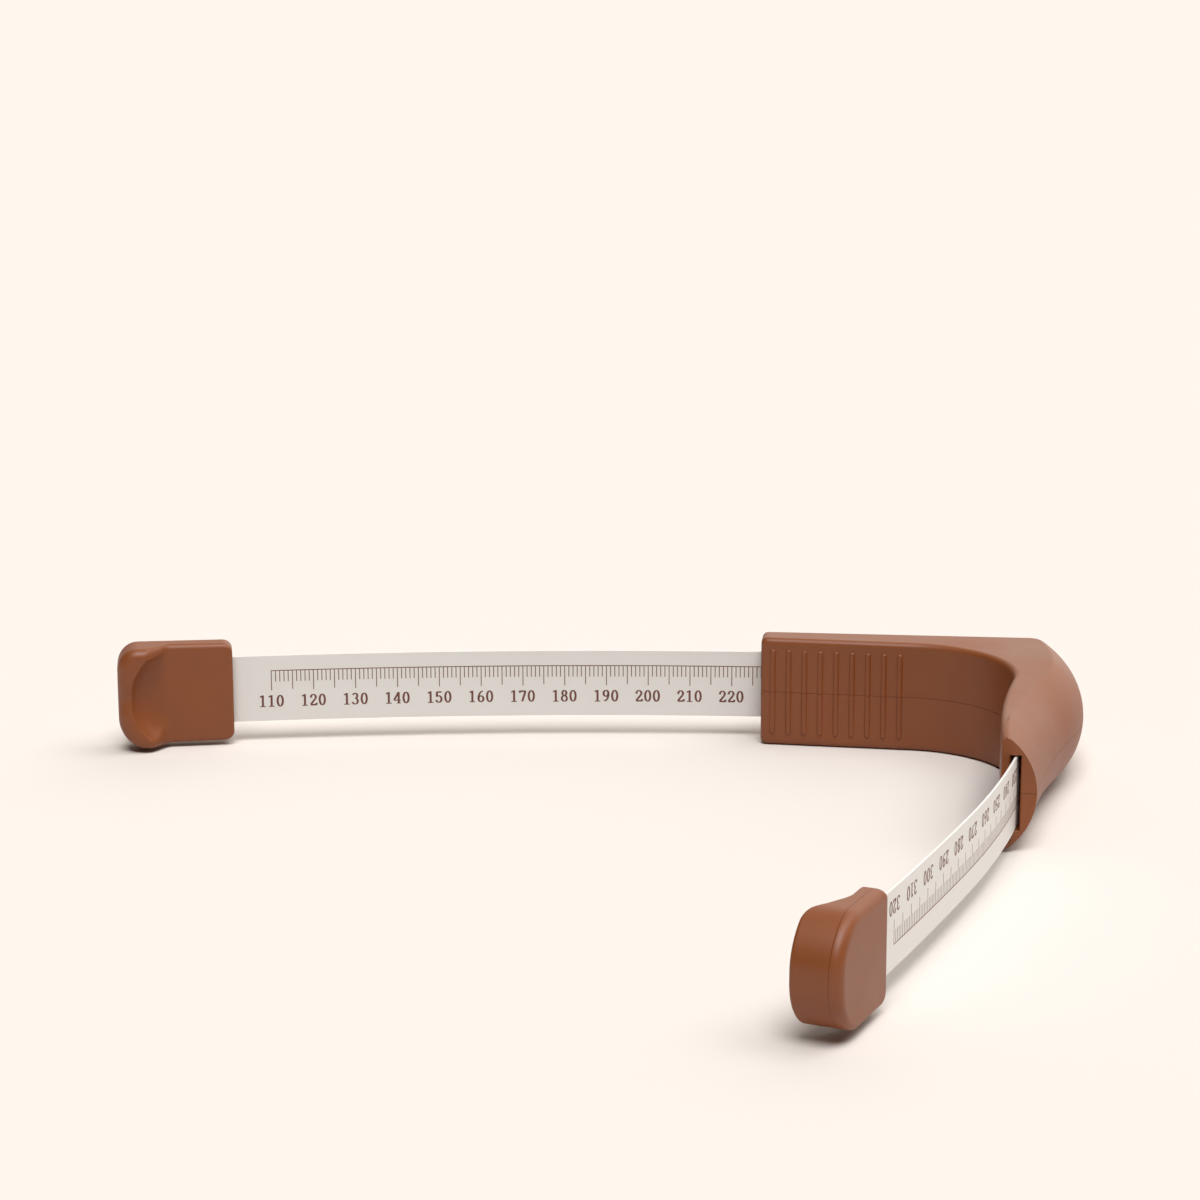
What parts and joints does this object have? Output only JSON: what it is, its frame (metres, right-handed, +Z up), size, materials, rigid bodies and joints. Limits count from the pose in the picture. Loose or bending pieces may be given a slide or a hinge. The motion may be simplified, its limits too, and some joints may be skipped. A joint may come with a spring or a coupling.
{
  "type": "inside shoe gauge",
  "caption": "Inside length gauge for shoes: a printed flexible strip slides through a rounded heel guide, with a toe head and a pull head at its ends.",
  "frame": {"origin": "axis of the guide's rounded heel corner, on the flat edge face that the gauge lies on", "axes": "+Z up from the table, across the strip's width; -X towards the toe head; +Y towards the side that the guide's rounded outside faces; the pull arm leads away towards -Y"},
  "size_m": [0.2257, 0.2174, 0.026],
  "materials": {
    "moulded_plastic": "satin",
    "strip_plastic": "satin"
  },
  "bodies": {
    "guide": {"guide_upper_shell": "moulded_plastic", "guide_lower_shell": "moulded_plastic", "scale_strip": "strip_plastic"},
    "toe_head": {"toe_head_inner_half": "moulded_plastic", "toe_head_outer_half": "moulded_plastic"},
    "pull_head": {"pull_head_inner_half": "moulded_plastic", "pull_head_outer_half": "moulded_plastic"}
  },
  "joints": [
    {"name": "toe_slide", "type": "slide", "parent": "guide", "child": "toe_head", "axis": [-1, 0.0062, 0], "range_m": [-0.1245, 0.0985], "deforming": ["scale_strip"]},
    {"name": "pull_slide", "type": "slide", "parent": "guide", "child": "pull_head", "axis": [-0.3958, -0.9184, 0], "range_m": [-0.0985, 0.1245]}
  ],
  "couplings": [
    {"joint": "pull_slide", "follows": "toe_slide", "ratio": -1}
  ]
}
